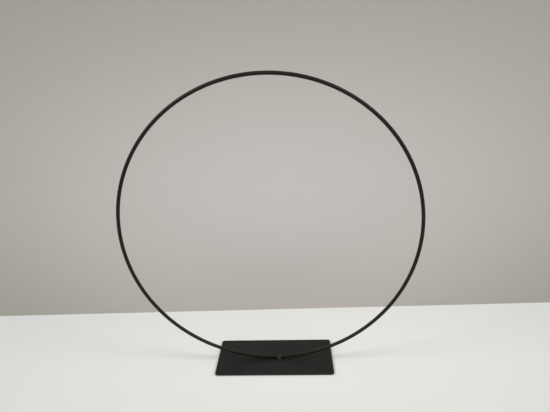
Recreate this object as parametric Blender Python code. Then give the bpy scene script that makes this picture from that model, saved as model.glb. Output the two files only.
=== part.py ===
"""Table-top metal hoop on a base plate.

One length of round steel rod is bent to a ring. Its two ends meet near the ring's lowest point, inside
a weld that closes the ring and ties it to a small sheet-steel plate. Four thin pads under the plate's
corners keep the steel off the table.

Metres, +Z up, the hoop facing -Y. The origin is on the table, under the hoop's centre and halfway
between the plate's front and back edges.
"""
import math

import bmesh
import bpy
from mathutils import Matrix, Vector

# Hoop
HOOP_OUTER_DIAMETER = 0.300
ROD_DIAMETER = 0.0036
HOOP_SET_FORWARD = 0.003
SEAM_TO_THE_RIGHT = 0.005
ROD_END_SPACING = 0.0014
ROD_END_CHAMFER = 0.0003

# Base plate
PLATE_WIDTH = 0.125
PLATE_DEPTH = 0.055
PLATE_THICKNESS = 0.0015
PLATE_CORNER_RADIUS = 0.0022
PLATE_RIM_RADIUS = 0.0003

# Weld that closes the hoop and holds it on the plate
WELD_LENGTH = 0.0056
WELD_COVER = 0.0007
WELD_COVER_AT_ENDS = 0.0003
WELD_SAG = 0.0003
WELD_PUDDLES = 2
WELD_VALLEY = 0.15
WELD_TOE_RADIUS = 0.0008
WELD_TOE_ANGLE = math.radians(35)

# Pads
PAD_DIAMETER = 0.008
PAD_THICKNESS = 0.0007
PAD_RIM_RADIUS = 0.0002
PAD_EDGE_MARGIN = 0.0025

# Clearance between pieces that touch; under the plate it is the thickness of the pads' adhesive
CONTACT_GAP = 0.0003

# Facets
HOOP_SEGMENTS = 144
ROD_SIDES = 16
CORNER_SEGMENTS = 6
RIM_SEGMENTS = 2
WELD_STATIONS = 17
WELD_TOP_STEPS = 16
WELD_TOE_STEPS = 4
PAD_SIDES = 32
SMOOTH_BELOW = math.radians(35)

# Finishes: colour and roughness
POWDER_COAT = ((0.013, 0.013, 0.012, 1.0), 0.38)
COAT_ON_WELD = ((0.015, 0.015, 0.014, 1.0), 0.45)
PAD_RUBBER = ((0.020, 0.020, 0.021, 1.0), 0.85)

# Places worked out from the sizes above
ROD_RADIUS = ROD_DIAMETER / 2
HOOP_RADIUS = HOOP_OUTER_DIAMETER / 2 - ROD_RADIUS
PLATE_BOTTOM = PAD_THICKNESS + CONTACT_GAP
PLATE_TOP = PLATE_BOTTOM + PLATE_THICKNESS
SEAT_HEIGHT = PLATE_TOP + CONTACT_GAP
HOOP_CENTRE = Vector((0.0, -HOOP_SET_FORWARD, SEAT_HEIGHT + ROD_RADIUS + HOOP_RADIUS))
SEAM_ANGLE = math.asin(SEAM_TO_THE_RIGHT / HOOP_RADIUS)
SEAM_CENTRE = HOOP_CENTRE + HOOP_RADIUS * Vector((math.sin(SEAM_ANGLE), 0.0, -math.cos(SEAM_ANGLE)))

# Angles round the hoop start at its lowest point and grow towards the right, which is a turn about -Y
HOOP_AXIS = Vector((0.0, -1.0, 0.0))


def clear_scene():
    for thing in list(bpy.data.objects):
        bpy.data.objects.remove(thing, do_unlink=True)


def make_material(name, finish):
    colour, roughness = finish
    material = bpy.data.materials.new(name)
    material.use_nodes = True
    shader = material.node_tree.nodes["Principled BSDF"]
    shader.inputs["Base Color"].default_value = colour
    shader.inputs["Roughness"].default_value = roughness
    shader.inputs["Metallic"].default_value = 0.0
    return material


def add_object(name, shape, place, parent):
    """Turn a bmesh, modelled about its own origin, into a named object at its place."""
    bmesh.ops.recalc_face_normals(shape, faces=shape.faces)
    mesh = bpy.data.meshes.new(name)
    shape.to_mesh(mesh)
    shape.free()
    mesh.shade_smooth()
    mesh.set_sharp_from_angle(angle=SMOOTH_BELOW)
    thing = bpy.data.objects.new(name, mesh)
    thing.location = place
    thing.parent = parent
    bpy.context.scene.collection.objects.link(thing)
    return thing


def round_edges(shape, edges, radius, segments):
    bmesh.ops.bevel(
        shape,
        geom=edges,
        offset=radius,
        offset_type="OFFSET",
        segments=segments,
        profile=0.5,
        affect="EDGES",
    )


def bent_rod(radius, end_spacing):
    """A round bar bent about the hoop's centre, its ends end_spacing apart at the seam."""
    half_opening = end_spacing / 2 / HOOP_RADIUS
    square_to_bar = Matrix.Rotation(math.pi / 2, 4, "Y")
    to_lowest_point = Matrix.Translation((0.0, 0.0, -HOOP_RADIUS))
    to_first_end = Matrix.Rotation(SEAM_ANGLE + half_opening, 4, HOOP_AXIS)
    shape = bmesh.new()
    bmesh.ops.create_circle(
        shape,
        cap_ends=True,
        radius=radius,
        segments=ROD_SIDES,
        matrix=to_first_end @ to_lowest_point @ square_to_bar,
    )
    bmesh.ops.spin(
        shape,
        geom=shape.verts[:] + shape.edges[:] + shape.faces[:],
        cent=(0.0, 0.0, 0.0),
        axis=HOOP_AXIS,
        angle=2 * (math.pi - half_opening),
        steps=HOOP_SEGMENTS,
    )
    return shape


def make_hoop_rod(parent):
    shape = bent_rod(ROD_RADIUS, ROD_END_SPACING)
    end_faces = [face for face in shape.faces if len(face.verts) == ROD_SIDES]
    end_edges = {edge for face in end_faces for edge in face.edges}
    round_edges(shape, list(end_edges), ROD_END_CHAMFER, 1)
    rod = add_object("hoop_rod", shape, HOOP_CENTRE, parent)
    rod.data.materials.append(make_material("hoop_powder_coat", POWDER_COAT))


def make_base_plate(parent):
    shape = bmesh.new()
    blank = Matrix.Diagonal((PLATE_WIDTH, PLATE_DEPTH, PLATE_THICKNESS, 1.0))
    bmesh.ops.create_cube(shape, size=1.0, matrix=blank)
    upright = [edge for edge in shape.edges if edge.verts[0].co.z * edge.verts[1].co.z < 0.0]
    round_edges(shape, upright, PLATE_CORNER_RADIUS, CORNER_SEGMENTS)
    rims = [edge for edge in shape.edges if edge.verts[0].co.z * edge.verts[1].co.z > 0.0]
    round_edges(shape, rims, PLATE_RIM_RADIUS, RIM_SEGMENTS)
    place = (0.0, 0.0, PLATE_BOTTOM + PLATE_THICKNESS / 2)
    plate = add_object("base_plate", shape, place, parent)
    plate.data.materials.append(make_material("plate_powder_coat", POWDER_COAT))


def weld_outline(bead_radius, foot_drop):
    """The weld's section about the rod's axis: round over the rod, with a hollow toe on each side.

    foot_drop is how far below the axis the flat foot lies. The toe is an arc that runs smoothly out of
    the round top and meets the foot at the toe angle. Points run from the right foot over to the left.
    """
    toe_lift = WELD_TOE_RADIUS * math.cos(WELD_TOE_ANGLE) - foot_drop
    toe_reach = math.sqrt((bead_radius + WELD_TOE_RADIUS) ** 2 - toe_lift ** 2)
    dip = math.atan2(-toe_lift, toe_reach)
    toe_start = 1.5 * math.pi - WELD_TOE_ANGLE
    toe_sweep = math.pi - dip - toe_start
    toe = []
    for step in range(WELD_TOE_STEPS):
        angle = toe_start + toe_sweep * step / WELD_TOE_STEPS
        toe.append((toe_reach + WELD_TOE_RADIUS * math.cos(angle), toe_lift + WELD_TOE_RADIUS * math.sin(angle)))
    top = []
    for step in range(WELD_TOP_STEPS + 1):
        angle = -dip + (math.pi + 2 * dip) * step / WELD_TOP_STEPS
        top.append((bead_radius * math.cos(angle), bead_radius * math.sin(angle)))
    far_toe = [(-y, z) for y, z in reversed(toe)]
    return toe + top + far_toe


def make_rod_clearance(parent):
    """A guide that cuts room for the rod's two ends out of the weld."""
    shape = bent_rod(ROD_RADIUS + CONTACT_GAP, ROD_END_SPACING - 2 * CONTACT_GAP)
    guide = add_object("rod_clearance_guide", shape, HOOP_CENTRE, parent)
    guide.hide_render = True
    guide.display_type = "WIRE"
    return guide


def weld_swell(along):
    """How far the weld swells, along from -1 to 1: an arch, dented between its frozen puddles.

    WELD_VALLEY is the share of the arch that is left in a dent.
    """
    arch = math.sqrt(max(0.0, 1.0 - along ** 2))
    puddle = abs(math.sin(math.pi * WELD_PUDDLES * (1.0 + along) / 2))
    return arch * (WELD_VALLEY + (1.0 - WELD_VALLEY) * puddle)


def make_seam_weld(parent):
    """Loft the weld along the rod from sections that swell and sag at each puddle."""
    shape = bmesh.new()
    foot_drop = SEAM_CENTRE.z - SEAT_HEIGHT
    rings = []
    for station in range(WELD_STATIONS):
        along = -math.cos(math.pi * station / (WELD_STATIONS - 1))
        swell = weld_swell(along)
        cover = WELD_COVER_AT_ENDS + (WELD_COVER - WELD_COVER_AT_ENDS) * swell
        sag = WELD_SAG * swell
        outline = weld_outline(ROD_RADIUS + CONTACT_GAP + cover, foot_drop - sag)
        x = along * WELD_LENGTH / 2
        rings.append([shape.verts.new((x, y, z - sag)) for y, z in outline])
    for ring, next_ring in zip(rings, rings[1:]):
        for i in range(len(ring)):
            shape.faces.new((ring[i - 1], ring[i], next_ring[i], next_ring[i - 1]))
    shape.faces.new(rings[0])
    shape.faces.new(rings[-1])
    weld = add_object("seam_weld", shape, SEAM_CENTRE, parent)
    weld.data.materials.append(make_material("weld_powder_coat", COAT_ON_WELD))
    pockets = weld.modifiers.new("rod_pockets", "BOOLEAN")
    pockets.operation = "DIFFERENCE"
    pockets.solver = "EXACT"
    pockets.object = make_rod_clearance(parent)


def make_pads(parent):
    rubber = make_material("pad_rubber", PAD_RUBBER)
    inset = PAD_EDGE_MARGIN + PAD_DIAMETER / 2
    for row, y_side in (("front", -1), ("back", 1)):
        for column, x_side in (("left", -1), ("right", 1)):
            shape = bmesh.new()
            bmesh.ops.create_cone(
                shape,
                cap_ends=True,
                segments=PAD_SIDES,
                radius1=PAD_DIAMETER / 2,
                radius2=PAD_DIAMETER / 2,
                depth=PAD_THICKNESS,
            )
            lower_rim = [edge for edge in shape.edges if max(v.co.z for v in edge.verts) < 0.0]
            round_edges(shape, lower_rim, PAD_RIM_RADIUS, RIM_SEGMENTS)
            place = (
                x_side * (PLATE_WIDTH / 2 - inset),
                y_side * (PLATE_DEPTH / 2 - inset),
                PAD_THICKNESS / 2,
            )
            pad = add_object(f"pad_{row}_{column}", shape, place, parent)
            pad.data.materials.append(rubber)


def main():
    clear_scene()
    stand = bpy.data.objects.new("hoop_stand", None)
    bpy.context.scene.collection.objects.link(stand)
    make_hoop_rod(stand)
    make_base_plate(stand)
    make_seam_weld(stand)
    make_pads(stand)


main()
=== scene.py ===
"""The finish of the table-top metal hoop: coated rod, plate and weld, rubber pads and a plain stage.

Laid out as an add-on: its properties hold the sizes and colours, one operator makes each piece, and a
panel lists them. Metres throughout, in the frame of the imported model.
"""
import math

import bmesh
import bpy
from bpy.props import FloatProperty, FloatVectorProperty, IntProperty, PointerProperty
from mathutils import Matrix, Vector


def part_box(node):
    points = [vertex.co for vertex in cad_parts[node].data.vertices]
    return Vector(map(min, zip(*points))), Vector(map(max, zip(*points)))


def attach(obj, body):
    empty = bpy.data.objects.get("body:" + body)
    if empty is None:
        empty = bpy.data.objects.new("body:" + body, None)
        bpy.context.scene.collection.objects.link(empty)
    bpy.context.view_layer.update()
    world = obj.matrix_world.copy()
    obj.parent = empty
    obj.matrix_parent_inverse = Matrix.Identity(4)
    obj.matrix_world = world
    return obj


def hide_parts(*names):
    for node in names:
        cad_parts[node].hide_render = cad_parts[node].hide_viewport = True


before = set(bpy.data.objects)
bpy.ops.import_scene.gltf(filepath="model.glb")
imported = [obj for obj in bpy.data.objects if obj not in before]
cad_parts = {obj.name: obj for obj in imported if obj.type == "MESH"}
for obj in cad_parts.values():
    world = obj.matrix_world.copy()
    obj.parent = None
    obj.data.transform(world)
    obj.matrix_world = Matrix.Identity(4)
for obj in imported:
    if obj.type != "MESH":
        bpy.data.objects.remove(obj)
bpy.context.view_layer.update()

bl_info = {
    "name": "Hoop Stand Finish",
    "version": (1, 0, 0),
    "blender": (4, 5, 0),
    "location": "View3D > Sidebar > Hoop Stand",
    "description": "Coated hoop, plate, weld and pads on a plain stage",
    "category": "Object",
}

PADS = ("pad_front_left", "pad_front_right", "pad_back_left", "pad_back_right")

# Places read from the frame
ROD_LOW, ROD_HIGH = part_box("hoop_rod")
PLATE_LOW, PLATE_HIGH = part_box("base_plate")
WELD_LOW, WELD_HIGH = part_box("seam_weld")
ROD_RADIUS = (ROD_HIGH.y - ROD_LOW.y) / 2
HOOP_RADIUS = (ROD_HIGH.x - ROD_LOW.x) / 2 - ROD_RADIUS
HOOP_CENTRE = (ROD_LOW + ROD_HIGH) / 2
PLATE_SIZE = PLATE_HIGH - PLATE_LOW
PLATE_CENTRE = (PLATE_LOW + PLATE_HIGH) / 2
SEAM_X = (WELD_LOW.x + WELD_HIGH.x) / 2
SEAM_ANGLE = math.asin((SEAM_X - HOOP_CENTRE.x) / HOOP_RADIUS)
SEAM_CENTRE = HOOP_CENTRE + HOOP_RADIUS * Vector((math.sin(SEAM_ANGLE), 0.0, -math.cos(SEAM_ANGLE)))
# Centre of the painted highlight on the weld's front lumps
WELD_HIGHLIGHT_CENTRE = SEAM_CENTRE + ROD_RADIUS * Vector((-0.15, -1.4, 0.0))

# How close counts as level, in the weld's cut and where two places are compared
CUT_TOLERANCE = 1e-7
PLACE_TOLERANCE = 1e-6

# A normal's upward part, at least this on a face that looks up and at most this on an upright one
FACING_UP = 0.99
FACING_ASIDE = 0.1

# Facets
END_CHAMFER_STEPS = 3
CORNER_STEPS = 10
RIM_STEPS = 4
PAD_RIM_STEPS = 3
DISC_SIDES = 64
LUMP_SIDES = 32
LUMP_RINGS = 20
SMOOTH_BELOW = math.radians(40)
WELD_SMOOTH_BELOW = math.radians(60)
PAD_SMOOTH_BELOW = math.radians(50)

# Shapes under the weld's lumps, in rod radii
STUB_LENGTH = 3.0
SLAB_RADIUS = 2.4
SLAB_DEPTH = 0.5

# Width of the waves on the weld, and the share of a pad's thickness that its rims round off
WELD_WAVE_WIDTH = 0.0013
PAD_RIM_SHARE = 0.28

# Powder coat: widths of its clouds and sheen patches, and its dust
CLOUD_WIDTH = 0.028
SHEEN_PATCH_WIDTH = 0.006
DUST_SPACING = 0.011
DUST_SPECK = 0.00022
DUST_SHARP_SHARE = 0.4
DUST_COVER = 0.8

# How far roughness falls below and rises above its mean
COAT_ROUGHNESS_SPREAD = (0.05, 0.06)
WELD_ROUGHNESS_SPREAD = (0.05, 0.08)

# Fine grain in the coat's dimples: how many times narrower and shallower than they are
GRAIN_NARROWER = 6
GRAIN_SHALLOWER = 12

# Weld: its tone patches, rings and pits
WELD_PATCH_WIDTH = 0.0011
RING_SCALE = 320.0
RING_HEIGHT = 0.00004
PIT_WIDTH = 0.0004
PIT_DEPTH = 0.00003

# Painted highlight on the weld's front lumps: full within this distance of its centre and gone beyond
# this one, in rod radii
HIGHLIGHT_FULL_WITHIN = 0.8
HIGHLIGHT_NONE_BEYOND = 1.5

# Rubber: least and most roughness, and the widths of its bloom and pores
RUBBER_ROUGHNESS = (0.72, 0.90)
BLOOM_WIDTH = 0.0020
PORE_WIDTH = 0.00018
PORE_DEPTH = 0.00003

# Stage, with the camera's sensor in millimetres
TABLE_ROUGHNESS = 0.55
WALL_ROUGHNESS = 0.9
SENSOR_WIDTH = 36.0
NEAREST_SEEN = 0.01

# Sockets of the colour Mix node, whose names repeat for each kind of value
MIX_FACTOR = 0
MIX_FIRST = 6
MIX_SECOND = 7
MIX_COLOUR = 2


class HoopStandSizes(bpy.types.PropertyGroup):
    """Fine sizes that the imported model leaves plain"""

    rod_sides: IntProperty(name="Rod sides", description="Facets round the rod", default=32, min=8)
    hoop_steps: IntProperty(name="Hoop steps", description="Facets along the hoop", default=360, min=48)
    rod_end_spacing: FloatProperty(
        name="Rod end spacing",
        description="Gap between the rod's two ends inside the weld",
        default=0.0014,
        unit="LENGTH",
    )
    rod_end_chamfer: FloatProperty(
        name="Rod end chamfer",
        description="Width of the bevel that the rod's ends were ground to",
        default=0.0003,
        unit="LENGTH",
    )
    corner_radius: FloatProperty(
        name="Corner radius",
        description="Radius of the plate's four corners",
        default=0.0022,
        unit="LENGTH",
    )
    rim_radius: FloatProperty(
        name="Rim radius",
        description="Rounding of the plate's edges under the coat",
        default=0.0003,
        unit="LENGTH",
    )
    roll_width: FloatProperty(
        name="Roll width",
        description="Strip along the plate's edges that the shears pulled down",
        default=0.0012,
        unit="LENGTH",
    )
    roll_drop: FloatProperty(
        name="Roll drop",
        description="How far that strip falls",
        default=0.00004,
        unit="LENGTH",
    )
    weld_grain: FloatProperty(
        name="Weld grain",
        description="Edge of the cells that the weld's lumps are merged in",
        default=0.0001,
        unit="LENGTH",
    )
    weld_softness: IntProperty(
        name="Weld softness",
        description="How many times the merged lumps are smoothed",
        default=60,
        min=0,
    )
    weld_unevenness: FloatProperty(
        name="Weld unevenness",
        description="Height of the weld's frozen waves",
        default=0.00012,
        unit="LENGTH",
    )
    weld_sink: FloatProperty(
        name="Weld sink",
        description="How far below the plate's surface the weld's toes run out",
        default=0.00012,
        unit="LENGTH",
    )
    seam_groove: FloatProperty(
        name="Seam groove",
        description="Depth of the groove left on top between the rod's ends",
        default=0.00022,
        unit="LENGTH",
    )
    pad_glue_inset: FloatProperty(
        name="Adhesive inset",
        description="How far the adhesive stays inside the pad's rim",
        default=0.00025,
        unit="LENGTH",
    )


class HoopStandFinish(bpy.types.PropertyGroup):
    """Colours and grain of the coat and the pads"""

    hoop_colour: FloatVectorProperty(
        name="Hoop colour",
        description="Warm black of the powder coat on the rod",
        subtype="COLOR",
        size=4,
        default=(0.0051, 0.0038, 0.0012, 1.0),
    )
    hoop_pale: FloatVectorProperty(
        name="Hoop pale colour",
        description="Tone of the rod's coat where it is a little thinner",
        subtype="COLOR",
        size=4,
        default=(0.0072, 0.0058, 0.0027, 1.0),
    )
    # Same coat as the rod, set to a paler and greyer black than the rod's
    plate_colour: FloatVectorProperty(
        name="Plate colour",
        description="The same black on the plate, under a film of dust",
        subtype="COLOR",
        size=4,
        default=(0.0073, 0.0078, 0.0071, 1.0),
    )
    plate_pale: FloatVectorProperty(
        name="Plate pale colour",
        description="Tone of the plate where more dust lies",
        subtype="COLOR",
        size=4,
        default=(0.0101, 0.0106, 0.0097, 1.0),
    )
    dust_colour: FloatVectorProperty(
        name="Dust colour",
        description="Specks of dust on the coat",
        subtype="COLOR",
        size=4,
        default=(0.040, 0.039, 0.035, 1.0),
    )
    coat_roughness: FloatProperty(
        name="Coat roughness",
        description="Mean roughness of the satin coat",
        default=0.42,
        min=0.0,
        max=1.0,
    )
    coat_ior: FloatProperty(
        name="Coat index",
        description="Refractive index, which sets how much the coat mirrors",
        default=1.31,
        min=1.0,
    )
    peel_size: FloatProperty(
        name="Peel size",
        description="Width of the powder coat's shallow dimples",
        default=0.0009,
        unit="LENGTH",
    )
    peel_height: FloatProperty(
        name="Peel height",
        description="Depth of those dimples",
        default=0.00003,
        unit="LENGTH",
    )
    weld_colour: FloatVectorProperty(
        name="Weld colour",
        description="Black of the coat over the weld",
        subtype="COLOR",
        size=4,
        default=(0.0070, 0.0068, 0.0060, 1.0),
    )
    weld_pale: FloatVectorProperty(
        name="Weld pale colour",
        description="Tone of the weld's coat where it is a little thinner",
        subtype="COLOR",
        size=4,
        default=(0.0140, 0.0138, 0.0128, 1.0),
    )
    # Painted highlight: a paler grey laid on the weld's front lumps where light would glint, not a
    # thinner coat
    weld_painted_highlight: FloatVectorProperty(
        name="Thin coat colour",
        description="Grey tone where the coat lies thin on the weld's front lumps",
        subtype="COLOR",
        size=4,
        default=(0.028, 0.0272, 0.0255, 1.0),
    )
    weld_ior: FloatProperty(
        name="Weld index",
        description="Refractive index of the coat over the weld",
        default=1.33,
        min=1.0,
    )
    weld_roughness: FloatProperty(
        name="Weld roughness",
        description="Mean roughness of the coat over the weld, which pooled and is glossier",
        default=0.34,
        min=0.0,
        max=1.0,
    )
    pad_colour: FloatVectorProperty(
        name="Pad colour",
        description="Black of the rubber pads",
        subtype="COLOR",
        size=4,
        default=(0.014, 0.014, 0.015, 1.0),
    )
    pad_pale: FloatVectorProperty(
        name="Pad pale colour",
        description="Tone of the rubber where it is chalky",
        subtype="COLOR",
        size=4,
        default=(0.028, 0.028, 0.028, 1.0),
    )


class HoopStandStage(bpy.types.PropertyGroup):
    """Table, wall, light and camera"""

    # Painted pool of light on the table: its colour fades from the pale middle to a dimmer tone further
    # off, standing in for the lamp's fall-off
    table_colour: FloatVectorProperty(
        name="Table colour",
        description="Pale table top",
        subtype="COLOR",
        size=4,
        default=(0.808, 0.813, 0.789, 1.0),
    )
    table_painted_shade_colour: FloatVectorProperty(
        name="Table dim colour",
        description="The same table far from the object",
        subtype="COLOR",
        size=4,
        default=(0.672, 0.687, 0.675, 1.0),
    )
    table_pool_centre: FloatVectorProperty(
        name="Table pool centre",
        description="Brightest place on the table",
        subtype="TRANSLATION",
        default=(0.031, 0.017, 0.0),
    )
    table_pool_reach: FloatVectorProperty(
        name="Table pool reach",
        description="How far that brightness fades out along each axis",
        subtype="XYZ",
        default=(0.459, 0.245, 10.0),
    )
    # Painted pool of light on the wall: its colour fades from the bright middle to a dimmer tone further
    # off, standing in for the lamp's fall-off
    wall_colour: FloatVectorProperty(
        name="Wall colour",
        description="Warm grey wall where the room's light falls on it",
        subtype="COLOR",
        size=4,
        default=(0.743, 0.701, 0.687, 1.0),
    )
    wall_painted_shade_colour: FloatVectorProperty(
        name="Wall dim colour",
        description="The same wall far outside the pool of light",
        subtype="COLOR",
        size=4,
        default=(0.423, 0.411, 0.360, 1.0),
    )
    wall_pool_centre: FloatVectorProperty(
        name="Wall pool centre",
        description="Brightest place on the wall",
        subtype="TRANSLATION",
        default=(0.010, 0.0, 0.157),
    )
    wall_pool_reach: FloatVectorProperty(
        name="Wall pool reach",
        description="How far that brightness fades out along each axis",
        subtype="XYZ",
        default=(0.596, 10.0, 0.319),
    )
    table_reach: FloatProperty(
        name="Table reach",
        description="Half the table's length and depth",
        default=3.0,
        unit="LENGTH",
    )
    wall_distance: FloatProperty(
        name="Wall distance",
        description="From the origin back to the wall",
        default=0.0938,
        unit="LENGTH",
    )
    wall_turn: FloatProperty(
        name="Wall turn",
        description="How far the wall runs back on the right",
        subtype="ANGLE",
        default=math.radians(1.07),
    )
    wall_height: FloatProperty(
        name="Wall height",
        description="Height of the wall",
        default=1.6,
        unit="LENGTH",
    )
    lamp_power: FloatProperty(
        name="Lamp power",
        description="Power of the soft lamp overhead, in watts",
        default=11.1,
    )
    lamp_size: FloatProperty(
        name="Lamp size",
        description="Edge of the soft lamp overhead",
        default=2.1,
        unit="LENGTH",
    )
    lamp_place: FloatVectorProperty(
        name="Lamp place",
        description="Middle of the soft lamp overhead",
        subtype="TRANSLATION",
        default=(0.0, -0.15, 2.55),
    )
    side_lamp_power: FloatProperty(
        name="Side lamp power",
        description="Power of each side lamp, in watts",
        default=32.3,
    )
    side_lamp_size: FloatProperty(
        name="Side lamp size",
        description="Edge of each side lamp",
        default=0.9,
        unit="LENGTH",
    )
    side_lamp_place: FloatVectorProperty(
        name="Side lamp place",
        description="Middle of the right side lamp, which the left one mirrors",
        subtype="TRANSLATION",
        default=(1.86, -0.6, 1.95),
    )
    backdrop_colour: FloatVectorProperty(
        name="Backdrop colour",
        description="What is seen beyond the table",
        subtype="COLOR",
        size=4,
        default=(0.78, 0.775, 0.76, 1.0),
    )
    room_level: FloatProperty(
        name="Room level",
        description="Brightness of the even light from the room",
        default=0.295,
    )
    room_colour: FloatVectorProperty(
        name="Room colour",
        description="Slightly warm tint of that light",
        subtype="COLOR",
        size=4,
        default=(1.0, 0.96, 0.89, 1.0),
    )
    eye: FloatVectorProperty(
        name="Camera place",
        description="Where the camera stands",
        subtype="TRANSLATION",
        default=(0.02438, -0.37352, 0.31235),
    )
    yaw: FloatProperty(
        name="Yaw",
        description="The camera's turn to the left",
        default=math.radians(2.704),
        subtype="ANGLE",
    )
    pitch: FloatProperty(
        name="Pitch",
        description="The camera's tilt down",
        default=math.radians(19.689),
        subtype="ANGLE",
    )
    roll: FloatProperty(
        name="Roll",
        description="The camera's roll about its line of sight",
        default=math.radians(2.366),
        subtype="ANGLE",
    )
    lens: FloatProperty(
        name="Lens",
        description="Focal length on a 36 mm sensor, in millimetres",
        default=27.032,
    )


def settings():
    """The sizes, the finish and the stage, as set in the scene."""
    scene = bpy.context.scene
    return scene.hoop_stand_sizes, scene.hoop_stand_finish, scene.hoop_stand_stage


def deselect_all():
    """Deselect every object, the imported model's own among them."""
    bpy.ops.object.select_all(action="DESELECT")


def select_only(piece):
    """Select this object alone and make it the active one."""
    deselect_all()
    piece.select_set(True)
    bpy.context.view_layer.objects.active = piece


def select_none(kind):
    """Go over to vertex, edge or face mode with nothing selected, and return the mesh's bmesh."""
    bpy.ops.mesh.select_mode(type=kind)
    bpy.ops.mesh.select_all(action="DESELECT")
    return bmesh.from_edit_mesh(bpy.context.object.data)


def enter_edit(kind):
    """Edit the active mesh in vertex, edge or face mode with nothing selected, and return its bmesh."""
    bpy.ops.object.mode_set(mode="EDIT")
    return select_none(kind)


def pick(shape, elements):
    """Select these vertices, edges or faces of the mesh in edit mode."""
    for element in elements:
        element.select_set(True)
    shape.select_flush_mode()
    bmesh.update_edit_mesh(bpy.context.object.data)


def leave_edit():
    """Go back to object mode."""
    bpy.ops.object.mode_set(mode="OBJECT")


def apply_all_modifiers(piece):
    """Apply the active piece's modifiers from the first to the last."""
    for modifier in list(piece.modifiers):
        bpy.ops.object.modifier_apply(modifier=modifier.name)


def finish_piece(name, material, node, smooth_below=SMOOTH_BELOW):
    """Bring the active object's place into its mesh, dress it, and let it stand for its node."""
    piece = bpy.context.object
    piece.name = name
    piece.data.name = name
    bpy.ops.object.transform_apply(location=True, rotation=True, scale=True)
    bpy.ops.object.shade_smooth_by_angle(angle=smooth_below)
    piece.data.materials.clear()
    piece.data.materials.append(material)
    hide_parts(node)
    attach(piece, "root")


def add_node(tree, kind, values=None, **settings_of_node):
    """Add a shader node, with its settings by name and its input values by socket."""
    node = tree.nodes.new(kind)
    for key, value in settings_of_node.items():
        setattr(node, key, value)
    for socket, value in (values or {}).items():
        node.inputs[socket].default_value = value
    return node


def grain(tree, place, width, detail=2.0, roughness=0.5):
    """A noise whose lumps are about width across."""
    noise = add_node(
        tree,
        "ShaderNodeTexNoise",
        {"Scale": 1.0 / width, "Detail": detail, "Roughness": roughness},
    )
    tree.links.new(place.outputs["Object"], noise.inputs["Vector"])
    return noise


def ramp_between(tree, factor, first, second, low=0.35, high=0.65):
    """A colour that runs from first to second as the factor goes from low to high."""
    ramp = add_node(tree, "ShaderNodeValToRGB")
    ramp.color_ramp.elements[0].position = low
    ramp.color_ramp.elements[0].color = first
    ramp.color_ramp.elements[1].position = high
    ramp.color_ramp.elements[1].color = second
    tree.links.new(factor, ramp.inputs["Fac"])
    return ramp.outputs["Color"]


def value_between(tree, factor, first, second, low=0.3, high=0.7):
    """A number that runs from first to second as the factor goes from low to high."""
    spread = add_node(
        tree,
        "ShaderNodeMapRange",
        {"From Min": low, "From Max": high, "To Min": first, "To Max": second},
    )
    tree.links.new(factor, spread.inputs["Value"])
    return spread.outputs["Result"]


def bump(tree, height, depth, below=None):
    """Relief of the given depth, laid over another relief where there is one."""
    node = add_node(tree, "ShaderNodeBump", {"Strength": 1.0, "Distance": depth})
    tree.links.new(height, node.inputs["Height"])
    if below is not None:
        tree.links.new(below, node.inputs["Normal"])
    return node.outputs["Normal"]


def laid_over(tree, under, colour, share):
    """A colour laid over a tone, all of it where the share is 1."""
    mix = add_node(tree, "ShaderNodeMix", {MIX_SECOND: colour}, data_type="RGBA")
    tree.links.new(share, mix.inputs[MIX_FACTOR])
    tree.links.new(under, mix.inputs[MIX_FIRST])
    return mix.outputs[MIX_COLOUR]


def centred_on(tree, place, centre):
    """Places on the object, measured from a centre."""
    shift = add_node(tree, "ShaderNodeMapping", {"Location": -centre})
    tree.links.new(place.outputs["Object"], shift.inputs["Vector"])
    return shift.outputs["Vector"]


def length_of(tree, vector):
    """How long a vector is."""
    measure = add_node(tree, "ShaderNodeVectorMath", operation="LENGTH")
    tree.links.new(vector, measure.inputs[0])
    return measure.outputs["Value"]


def show_either(tree, factor, first, second, output):
    """Show the first shader where the factor is 0 and the second where it is 1."""
    choose = add_node(tree, "ShaderNodeMixShader")
    tree.links.new(factor, choose.inputs["Fac"])
    tree.links.new(first, choose.inputs[1])
    tree.links.new(second, choose.inputs[2])
    tree.links.new(choose.outputs["Shader"], output.inputs["Surface"])


def uneven_roughness(tree, shader, factor, mean, spread):
    """Roughness that wanders about its mean with the factor."""
    below, above = spread
    roughness = value_between(tree, factor, mean - below, mean + above)
    tree.links.new(roughness, shader.inputs["Roughness"])


def new_material(name):
    """A material with its tree, its shader and the node that gives places on the object."""
    material = bpy.data.materials.new(name)
    material.use_nodes = True
    tree = material.node_tree
    shader = tree.nodes["Principled BSDF"]
    place = add_node(tree, "ShaderNodeTexCoord")
    return material, tree, shader, place


def dust(tree, place, under, colour):
    """Sparse specks over a colour."""
    cells = add_node(tree, "ShaderNodeTexVoronoi", {"Scale": 1.0 / DUST_SPACING, "Randomness": 1.0})
    tree.links.new(place.outputs["Object"], cells.inputs["Vector"])
    edge = DUST_SPECK / DUST_SPACING
    mask = add_node(
        tree,
        "ShaderNodeMapRange",
        {"From Min": edge, "From Max": edge * DUST_SHARP_SHARE, "To Min": 0.0, "To Max": DUST_COVER},
    )
    tree.links.new(cells.outputs["Distance"], mask.inputs["Value"])
    return laid_over(tree, under, colour, mask.outputs["Result"])


def orange_peel(tree, place, finish):
    """Shallow dimples with a fine grain in them."""
    peel = grain(tree, place, finish.peel_size, detail=1.0)
    normal = bump(tree, peel.outputs["Fac"], finish.peel_height)
    fine = grain(tree, place, finish.peel_size / GRAIN_NARROWER)
    return bump(tree, fine.outputs["Fac"], finish.peel_height / GRAIN_SHALLOWER, below=normal)


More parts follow.
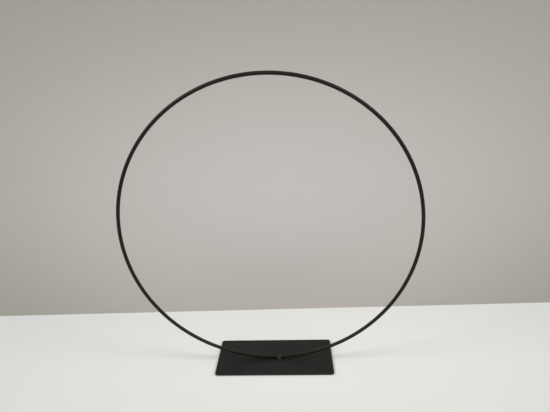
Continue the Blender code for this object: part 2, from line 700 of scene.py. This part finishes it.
def powder_coat(name, dark, pale, finish):
    """Satin black powder coat: cloudy tone, uneven sheen, orange peel and a few specks of dust."""
    material, tree, shader, place = new_material(name)
    clouds = grain(tree, place, CLOUD_WIDTH, detail=3.0)
    tone = ramp_between(tree, clouds.outputs["Fac"], dark, pale)
    tone = dust(tree, place, tone, finish.dust_colour)
    tree.links.new(tone, shader.inputs["Base Color"])
    patches = grain(tree, place, SHEEN_PATCH_WIDTH, detail=4.0, roughness=0.6)
    sheen = patches.outputs["Fac"]
    uneven_roughness(tree, shader, sheen, finish.coat_roughness, COAT_ROUGHNESS_SPREAD)
    tree.links.new(orange_peel(tree, place, finish), shader.inputs["Normal"])
    shader.inputs["IOR"].default_value = finish.coat_ior
    return material


def weld_coat(finish):
    """The same coat on the weld: patchy, with a painted highlight in paler grey on the front lumps, and
    the weld's own relief.
    """
    material, tree, shader, place = new_material("weld_coat")
    patches = grain(tree, place, WELD_PATCH_WIDTH, detail=3.0)
    tone = ramp_between(tree, patches.outputs["Fac"], finish.weld_colour, finish.weld_pale)
    # Painted highlight on the weld's front lumps
    painted_highlight_share = near(tree, place, WELD_HIGHLIGHT_CENTRE, HIGHLIGHT_FULL_WITHIN * ROD_RADIUS, HIGHLIGHT_NONE_BEYOND * ROD_RADIUS)
    tone = laid_over(tree, tone, finish.weld_painted_highlight, painted_highlight_share)
    tree.links.new(tone, shader.inputs["Base Color"])
    sheen = patches.outputs["Fac"]
    uneven_roughness(tree, shader, sheen, finish.weld_roughness, WELD_ROUGHNESS_SPREAD)
    normal = weld_relief(tree, place, orange_peel(tree, place, finish))
    tree.links.new(normal, shader.inputs["Normal"])
    shader.inputs["IOR"].default_value = finish.weld_ior
    return material


def near(tree, place, centre, full_within, none_beyond):
    """A factor that is 1 close to a place and falls to 0 further off."""
    distance = length_of(tree, centred_on(tree, place, centre))
    fade = add_node(
        tree,
        "ShaderNodeMapRange",
        {"From Min": full_within, "From Max": none_beyond, "To Min": 1.0, "To Max": 0.0},
        interpolation_type="SMOOTHSTEP",
    )
    tree.links.new(distance, fade.inputs["Value"])
    return fade.outputs["Result"]


def weld_relief(tree, place, below):
    """Rings that the weld froze in, centred on its crown, and pits between them."""
    rings = add_node(
        tree,
        "ShaderNodeTexWave",
        {"Scale": RING_SCALE, "Distortion": 3.0, "Detail": 2.0, "Detail Scale": 2.0},
        wave_type="RINGS",
        rings_direction="SPHERICAL",
    )
    tree.links.new(centred_on(tree, place, SEAM_CENTRE), rings.inputs["Vector"])
    normal = bump(tree, rings.outputs["Fac"], RING_HEIGHT, below=below)
    pits = grain(tree, place, PIT_WIDTH, detail=3.0)
    return bump(tree, pits.outputs["Fac"], PIT_DEPTH, below=normal)


def pad_rubber(finish):
    """Matte black rubber with fine pores and a chalky bloom."""
    material, tree, shader, place = new_material("pad_rubber")
    bloom = grain(tree, place, BLOOM_WIDTH, detail=4.0, roughness=0.6)
    tone = ramp_between(tree, bloom.outputs["Fac"], finish.pad_colour, finish.pad_pale)
    tree.links.new(tone, shader.inputs["Base Color"])
    chalk = value_between(tree, bloom.outputs["Fac"], *RUBBER_ROUGHNESS)
    tree.links.new(chalk, shader.inputs["Roughness"])
    pores = grain(tree, place, PORE_WIDTH)
    tree.links.new(bump(tree, pores.outputs["Fac"], PORE_DEPTH), shader.inputs["Normal"])
    return material


class HOOPSTAND_OT_bend_rod(bpy.types.Operator):
    """Spin the rod's section round the hoop, from one end at the seam to the other"""

    bl_idname = "hoop_stand.bend_rod"
    bl_label = "Hoop rod"

    def execute(self, context):
        sizes, finish, _ = settings()
        deselect_all()
        half_opening = sizes.rod_end_spacing / 2 / HOOP_RADIUS
        first_end = SEAM_ANGLE + half_opening
        bpy.ops.mesh.primitive_circle_add(
            vertices=sizes.rod_sides,
            radius=ROD_RADIUS,
            fill_type="NGON",
            location=HOOP_CENTRE + HOOP_RADIUS * Vector((math.sin(first_end), 0.0, -math.cos(first_end))),
            rotation=(0.0, math.pi / 2 - first_end, 0.0),
        )
        enter_edit("VERT")
        bpy.ops.mesh.select_all(action="SELECT")
        bpy.ops.mesh.spin(
            steps=sizes.hoop_steps,
            angle=2 * (math.pi - half_opening),
            center=HOOP_CENTRE,
            axis=(0.0, -1.0, 0.0),
        )
        bpy.ops.mesh.select_all(action="SELECT")
        bpy.ops.mesh.normals_make_consistent(inside=False)
        shape = select_none("EDGE")
        ends = [face for face in shape.faces if len(face.verts) == sizes.rod_sides]
        pick(shape, {edge for face in ends for edge in face.edges})
        bpy.ops.mesh.bevel(offset=sizes.rod_end_chamfer, segments=END_CHAMFER_STEPS, affect="EDGES")
        leave_edit()
        coat = powder_coat("hoop_coat", finish.hoop_colour, finish.hoop_pale, finish)
        finish_piece("hoop_rod_coated", coat, "hoop_rod")
        return {"FINISHED"}


class HOOPSTAND_OT_cut_plate(bpy.types.Operator):
    """Cut the base plate, round its corners and edges, and pull its edges down as shears do"""

    bl_idname = "hoop_stand.cut_plate"
    bl_label = "Base plate"

    def execute(self, context):
        sizes, finish, _ = settings()
        deselect_all()
        bpy.ops.mesh.primitive_cube_add(size=1.0, location=PLATE_CENTRE, scale=PLATE_SIZE)
        bpy.ops.object.transform_apply(location=False, rotation=False, scale=True)
        shape = enter_edit("EDGE")
        pick(shape, [edge for edge in shape.edges if edge.verts[0].co.z * edge.verts[1].co.z < 0.0])
        bpy.ops.mesh.bevel(offset=sizes.corner_radius, segments=CORNER_STEPS, affect="EDGES")
        shape = select_none("FACE")
        pick(shape, [face for face in shape.faces if face.normal.z > FACING_UP])
        bpy.ops.mesh.inset(thickness=sizes.roll_width)
        bpy.ops.mesh.inset(thickness=sizes.roll_width / 2)
        shape = bmesh.from_edit_mesh(context.object.data)
        top = PLATE_SIZE.z / 2
        inner_x = PLATE_SIZE.x / 2 - sizes.roll_width / 2
        inner_y = PLATE_SIZE.y / 2 - sizes.roll_width / 2
        for vert in shape.verts:
            on_outline = abs(vert.co.x) > inner_x or abs(vert.co.y) > inner_y
            if vert.co.z > top - PLACE_TOLERANCE and on_outline:
                vert.co.z -= sizes.roll_drop
        bmesh.update_edit_mesh(context.object.data)
        shape = select_none("EDGE")
        pick(shape, [edge for edge in shape.edges if self.is_rim(edge)])
        bpy.ops.mesh.bevel(offset=sizes.rim_radius, segments=RIM_STEPS, affect="EDGES")
        leave_edit()
        coat = powder_coat("plate_coat", finish.plate_colour, finish.plate_pale, finish)
        finish_piece("base_plate_coated", coat, "base_plate")
        return {"FINISHED"}

    @staticmethod
    def is_rim(edge):
        """An edge between an upright side and the plate's top or bottom."""
        upright = [abs(face.normal.z) < FACING_ASIDE for face in edge.link_faces]
        return len(upright) == 2 and upright[0] != upright[1]


class HOOPSTAND_OT_lay_weld(bpy.types.Operator):
    """Pile lumps of weld round the rod's ends, merge and smooth them, and cut them flat on the plate"""

    bl_idname = "hoop_stand.lay_weld"
    bl_label = "Seam weld"

    def execute(self, context):
        sizes, finish, _ = settings()
        deselect_all()
        lumps = [self.add_stub(sizes), self.add_slab(sizes)]
        for place, reach in self.puddles():
            bpy.ops.mesh.primitive_uv_sphere_add(
                segments=LUMP_SIDES,
                ring_count=LUMP_RINGS,
                location=place,
                scale=reach,
            )
            lumps.append(context.object)
        for lump in lumps:
            lump.select_set(True)
        bpy.ops.object.join()
        weld = context.object
        bpy.ops.object.transform_apply(location=True, rotation=True, scale=True)
        merge = weld.modifiers.new("merge", "REMESH")
        merge.mode = "VOXEL"
        merge.voxel_size = sizes.weld_grain
        soften = weld.modifiers.new("soften", "SMOOTH")
        soften.iterations = sizes.weld_softness
        waves = weld.modifiers.new("waves", "DISPLACE")
        waves.texture = bpy.data.textures.new("weld_waves", "CLOUDS")
        waves.texture.noise_scale = WELD_WAVE_WIDTH
        waves.texture_coords = "GLOBAL"
        waves.mid_level = 0.5
        waves.strength = sizes.weld_unevenness
        apply_all_modifiers(weld)
        enter_edit("VERT")
        bpy.ops.mesh.select_all(action="SELECT")
        bpy.ops.mesh.bisect(
            plane_co=(0.0, 0.0, PLATE_HIGH.z),
            plane_no=(0.0, 0.0, 1.0),
            use_fill=True,
            clear_inner=True,
            threshold=CUT_TOLERANCE,
        )
        bpy.ops.mesh.select_all(action="SELECT")
        bpy.ops.mesh.normals_make_consistent(inside=False)
        leave_edit()
        finish_piece("seam_weld_coated", weld_coat(finish), "seam_weld", WELD_SMOOTH_BELOW)
        return {"FINISHED"}

    @staticmethod
    def add_stub(sizes):
        """Fill the opening between the rod's ends, a little below the rod's surface."""
        bpy.ops.mesh.primitive_cylinder_add(
            vertices=DISC_SIDES,
            radius=ROD_RADIUS - sizes.seam_groove,
            depth=STUB_LENGTH * ROD_RADIUS,
            location=SEAM_CENTRE,
            rotation=(0.0, math.pi / 2 - SEAM_ANGLE, 0.0),
        )
        return bpy.context.object

    @staticmethod
    def add_slab(sizes):
        """A disc just inside the plate, so that the lumps run out to it in hollow toes."""
        depth = SLAB_DEPTH * ROD_RADIUS
        bpy.ops.mesh.primitive_cylinder_add(
            vertices=DISC_SIDES,
            radius=SLAB_RADIUS * ROD_RADIUS,
            depth=depth,
            location=(SEAM_CENTRE.x, SEAM_CENTRE.y, PLATE_HIGH.z - sizes.weld_sink - depth / 2),
        )
        return bpy.context.object

    @staticmethod
    def puddles():
        """Centre and half sizes of each lump, written in rod radii from the seam's centre."""
        in_radii = {
            "under the rod": ((0.0, 0.0, -0.60), (1.35, 1.10, 0.80)),
            "front mound": ((-0.12, -0.76, -0.40), (1.20, 0.90, 0.86)),
            "front first puddle": ((-0.78, -0.96, -0.06), (0.68, 0.62, 0.64)),
            "front second puddle": ((-0.16, -1.14, -0.34), (0.68, 0.62, 0.60)),
            "front last puddle": ((0.46, -0.90, 0.12), (0.62, 0.64, 0.64)),
            "front toe": ((-0.10, -0.90, -1.10), (1.40, 1.00, 0.44)),
            "back mound": ((0.06, 0.70, -0.40), (1.20, 0.84, 0.82)),
            "back first puddle": ((0.66, 0.86, -0.06), (0.62, 0.56, 0.60)),
            "back last puddle": ((-0.30, 0.86, 0.10), (0.70, 0.58, 0.60)),
            "back toe": ((0.04, 0.92, -1.10), (1.38, 0.96, 0.44)),
        }
        return [
            (SEAM_CENTRE + ROD_RADIUS * Vector(place), ROD_RADIUS * Vector(reach))
            for place, reach in in_radii.values()
        ]


class HOOPSTAND_OT_stick_pads(bpy.types.Operator):
    """Punch the four rubber pads, each with its adhesive up to the plate"""

    bl_idname = "hoop_stand.stick_pads"
    bl_label = "Pads"

    def execute(self, context):
        sizes, finish, _ = settings()
        rubber = pad_rubber(finish)
        first_low, first_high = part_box(PADS[0])
        deselect_all()
        self.punch_pad(first_low, first_high, sizes)
        pads = [context.object]
        for node in PADS[1:]:
            select_only(pads[0])
            bpy.ops.object.duplicate()
            bpy.ops.transform.translate(value=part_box(node)[0] - first_low)
            pads.append(context.object)
        for pad, node in zip(pads, PADS):
            select_only(pad)
            finish_piece(f"{node}_rubber", rubber, node, PAD_SMOOTH_BELOW)
        return {"FINISHED"}

    def punch_pad(self, low, high, sizes):
        """One pad: a disc with rounded rims, and the adhesive on it that reaches the plate."""
        size = high - low
        bpy.ops.mesh.primitive_cylinder_add(
            vertices=DISC_SIDES,
            radius=size.x / 2,
            depth=size.z,
            location=(low + high) / 2,
        )
        shape = enter_edit("FACE")
        pick(shape, [face for face in shape.faces if face.normal.z > FACING_UP])
        bpy.ops.mesh.inset(thickness=sizes.pad_glue_inset)
        bpy.ops.mesh.extrude_region_move(
            TRANSFORM_OT_translate={"value": (0.0, 0.0, PLATE_LOW.z - high.z)},
        )
        shape = select_none("EDGE")
        pick(shape, [edge for edge in shape.edges if self.is_rubber_rim(edge, size)])
        bpy.ops.mesh.bevel(offset=size.z * PAD_RIM_SHARE, segments=PAD_RIM_STEPS, affect="EDGES")
        leave_edit()

    @staticmethod
    def is_rubber_rim(edge, size):
        """The rims round the rubber's own top and bottom, not round the adhesive."""
        level = all(abs(abs(vert.co.z) - size.z / 2) < PLACE_TOLERANCE for vert in edge.verts)
        outside = all(vert.co.xy.length > size.x / 2 - PLACE_TOLERANCE for vert in edge.verts)
        same_side = edge.verts[0].co.z * edge.verts[1].co.z > 0.0
        return level and outside and same_side


def painted_light_pool(name, bright, dim, centre, reach, roughness):
    """A matte surface whose colour fades from a bright middle to a dimmer tone: a painted pool of light,
    as under a soft lamp.
    """
    material, tree, shader, place = new_material(name)
    scale = Vector([1.0 / extent for extent in reach])
    fit = add_node(tree, "ShaderNodeMapping", {"Location": -Vector(centre) * scale, "Scale": scale})
    tree.links.new(place.outputs["Object"], fit.inputs["Vector"])
    fade = add_node(tree, "ShaderNodeMapRange", interpolation_type="SMOOTHSTEP")
    tree.links.new(length_of(tree, fit.outputs["Vector"]), fade.inputs["Value"])
    mix = add_node(tree, "ShaderNodeMix", {MIX_FIRST: bright, MIX_SECOND: dim}, data_type="RGBA")
    tree.links.new(fade.outputs["Result"], mix.inputs[MIX_FACTOR])
    tree.links.new(mix.outputs[MIX_COLOUR], shader.inputs["Base Color"])
    shader.inputs["Roughness"].default_value = roughness
    return material


def see_through_from_behind(material):
    """Let views from behind the wall look through it."""
    tree = material.node_tree
    side = add_node(tree, "ShaderNodeNewGeometry").outputs["Backfacing"]
    paint = tree.nodes["Principled BSDF"].outputs["BSDF"]
    clear = add_node(tree, "ShaderNodeBsdfTransparent").outputs["BSDF"]
    show_either(tree, side, paint, clear, tree.nodes["Material Output"])


def seen_or_mirrored(tree):
    """A factor that is 1 for what is seen, straight, in a gloss or through glass, and 0 for light."""
    path = add_node(tree, "ShaderNodeLightPath")
    seen = path.outputs["Is Camera Ray"]
    for ray in ("Is Glossy Ray", "Is Transmission Ray"):
        either = add_node(tree, "ShaderNodeMath", operation="MAXIMUM")
        tree.links.new(seen, either.inputs[0])
        tree.links.new(path.outputs[ray], either.inputs[1])
        seen = either.outputs["Value"]
    return seen


def light_world(scene, stage):
    """Even light from the room, and a plain pale backdrop wherever the room itself is seen."""
    world = bpy.data.worlds.new("room")
    scene.world = world
    world.use_nodes = True
    tree = world.node_tree
    room = tree.nodes["Background"]
    room.inputs["Color"].default_value = stage.room_colour
    room.inputs["Strength"].default_value = stage.room_level
    backdrop = add_node(tree, "ShaderNodeBackground", {"Color": stage.backdrop_colour, "Strength": 1.0})
    show_either(
        tree,
        seen_or_mirrored(tree),
        room.outputs["Background"],
        backdrop.outputs["Background"],
        tree.nodes["World Output"],
    )


class HOOPSTAND_OT_set_stage(bpy.types.Operator):
    """Lay the table, raise the wall, hang the lamps and place the camera"""

    bl_idname = "hoop_stand.set_stage"
    bl_label = "Stage"

    def execute(self, context):
        _, _, stage = settings()
        scene = context.scene
        deselect_all()
        bpy.ops.mesh.primitive_plane_add(size=2 * stage.table_reach)
        table = context.object
        table.name = "table"
        # The table's colour holds a painted pool of light
        table.data.materials.append(painted_light_pool(
            "table_with_painted_light",
            stage.table_colour,
            stage.table_painted_shade_colour,
            stage.table_pool_centre,
            stage.table_pool_reach,
            TABLE_ROUGHNESS,
        ))
        bpy.ops.mesh.primitive_plane_add(
            size=1.0,
            location=(0.0, stage.wall_distance, stage.wall_height / 2),
            rotation=(math.pi / 2, 0.0, stage.wall_turn),
        )
        wall = context.object
        wall.name = "wall"
        wall.scale = (2 * stage.table_reach, stage.wall_height, 1.0)
        bpy.ops.object.transform_apply(location=True, rotation=True, scale=True)
        # The wall's colour holds a painted pool of light
        paint = painted_light_pool(
            "wall_with_painted_light",
            stage.wall_colour,
            stage.wall_painted_shade_colour,
            stage.wall_pool_centre,
            stage.wall_pool_reach,
            WALL_ROUGHNESS,
        )
        see_through_from_behind(paint)
        wall.data.materials.append(paint)
        wall.visible_shadow = False
        wall.visible_diffuse = False
        self.hang_lamp(stage.lamp_place, stage.lamp_size, stage.lamp_power)
        right = Vector(stage.side_lamp_place)
        for place in (right, right * Vector((-1.0, 1.0, 1.0))):
            self.hang_lamp(place, stage.side_lamp_size, stage.side_lamp_power)
        light_world(scene, stage)
        self.place_camera(scene, stage)
        scene.view_settings.view_transform = "Standard"
        return {"FINISHED"}

    @staticmethod
    def hang_lamp(place, size, power):
        """A square soft lamp that faces the hoop."""
        bpy.ops.object.light_add(type="AREA", location=place)
        lamp = bpy.context.object
        lamp.data.shape = "SQUARE"
        lamp.data.size = size
        lamp.data.energy = power
        lamp.visible_camera = False
        lamp.rotation_euler = (HOOP_CENTRE - Vector(place)).to_track_quat("-Z", "Y").to_euler()

    @staticmethod
    def place_camera(scene, stage):
        """Stand the camera at its eye point, turned left by yaw, tilted down by pitch and rolled."""
        bpy.ops.object.camera_add()
        camera = bpy.context.object
        camera.data.sensor_width = SENSOR_WIDTH
        camera.data.lens = stage.lens
        camera.data.dof.use_dof = False
        camera.data.clip_start = NEAREST_SEEN
        camera.matrix_world = (
            Matrix.Translation(stage.eye)
            @ Matrix.Rotation(stage.yaw, 4, "Z")
            @ Matrix.Rotation(math.pi / 2 - stage.pitch, 4, "X")
            @ Matrix.Rotation(-stage.roll, 4, "Z")
        )
        scene.camera = camera


class HOOPSTAND_PT_panel(bpy.types.Panel):
    """Lists the operators and the values they use"""

    bl_label = "Hoop Stand"
    bl_idname = "HOOPSTAND_PT_panel"
    bl_space_type = "VIEW_3D"
    bl_region_type = "UI"
    bl_category = "Hoop Stand"

    def draw(self, context):
        for group in settings():
            box = self.layout.box()
            for name in group.__annotations__:
                box.prop(group, name)
        for operator in OPERATORS:
            self.layout.operator(operator.bl_idname)


OPERATORS = (
    HOOPSTAND_OT_bend_rod,
    HOOPSTAND_OT_cut_plate,
    HOOPSTAND_OT_lay_weld,
    HOOPSTAND_OT_stick_pads,
    HOOPSTAND_OT_set_stage,
)
GROUPS = {
    "hoop_stand_sizes": HoopStandSizes,
    "hoop_stand_finish": HoopStandFinish,
    "hoop_stand_stage": HoopStandStage,
}


def register():
    for group in GROUPS.values():
        bpy.utils.register_class(group)
    for name, group in GROUPS.items():
        setattr(bpy.types.Scene, name, PointerProperty(type=group))
    for operator in OPERATORS:
        bpy.utils.register_class(operator)
    bpy.utils.register_class(HOOPSTAND_PT_panel)


def unregister():
    bpy.utils.unregister_class(HOOPSTAND_PT_panel)
    for operator in reversed(OPERATORS):
        bpy.utils.unregister_class(operator)
    for name in GROUPS:
        delattr(bpy.types.Scene, name)
    for group in reversed(list(GROUPS.values())):
        bpy.utils.unregister_class(group)


def main():
    register()
    bpy.ops.hoop_stand.bend_rod()
    bpy.ops.hoop_stand.cut_plate()
    bpy.ops.hoop_stand.lay_weld()
    bpy.ops.hoop_stand.stick_pads()
    bpy.ops.hoop_stand.set_stage()


if __name__ == "__main__":
    main()
